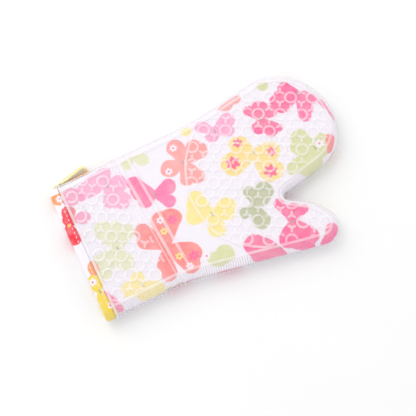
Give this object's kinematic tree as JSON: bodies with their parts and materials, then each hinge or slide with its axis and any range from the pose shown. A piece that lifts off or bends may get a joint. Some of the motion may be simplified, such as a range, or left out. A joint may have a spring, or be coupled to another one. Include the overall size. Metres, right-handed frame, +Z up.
{
  "type": "oven mitt",
  "caption": "Silicone oven mitt with a padded, butterfly-print cotton liner, a bare cloth cuff and a swinging hanging loop.",
  "frame": {"origin": "middle of the mitt's footprint, on the surface that it lies on", "axes": "+X from the cuff to the fingertips, +Y towards the index-finger side with the thumb on -Y, +Z up through the mitt's thickness"},
  "size_m": [0.2875, 0.1825, 0.022],
  "materials": {
    "frosted_silicone": "frosted, half see-through moulded silicone with a raised ring pattern",
    "silicone_adhesive": "thin cloudy adhesive",
    "print_cotton": "plain-weave cotton, white with a pink, yellow and green butterfly print",
    "hem_cotton": "the same print cotton, bare and bright",
    "loop_cotton": "folded strip of yellow and orange print cotton",
    "wadding": "soft white polyester-cotton wadding",
    "lining_cotton": "plain white cotton",
    "white_thread": "spun polyester sewing thread"
  },
  "bodies": {
    "mitt": {"silicone_shell": "frosted_silicone", "shell_bond": "silicone_adhesive", "print_front": "print_cotton", "print_back": "print_cotton", "wadding_front": "wadding", "wadding_back": "wadding", "lining_front": "lining_cotton", "lining_back": "lining_cotton", "side_seam_thread": "white_thread", "cuff_hem": "hem_cotton", "hem_stitching": "white_thread", "loop_tab": "loop_cotton"},
    "loop": {"hanging_loop": "loop_cotton"}
  },
  "joints": [
    {"name": "loop_swing", "type": "hinge", "parent": "mitt", "child": "loop", "pos_m": [-0.126, 0.0845, 0.0056], "axis": [0, 0, 1], "range_deg": [0, 150]}
  ]
}
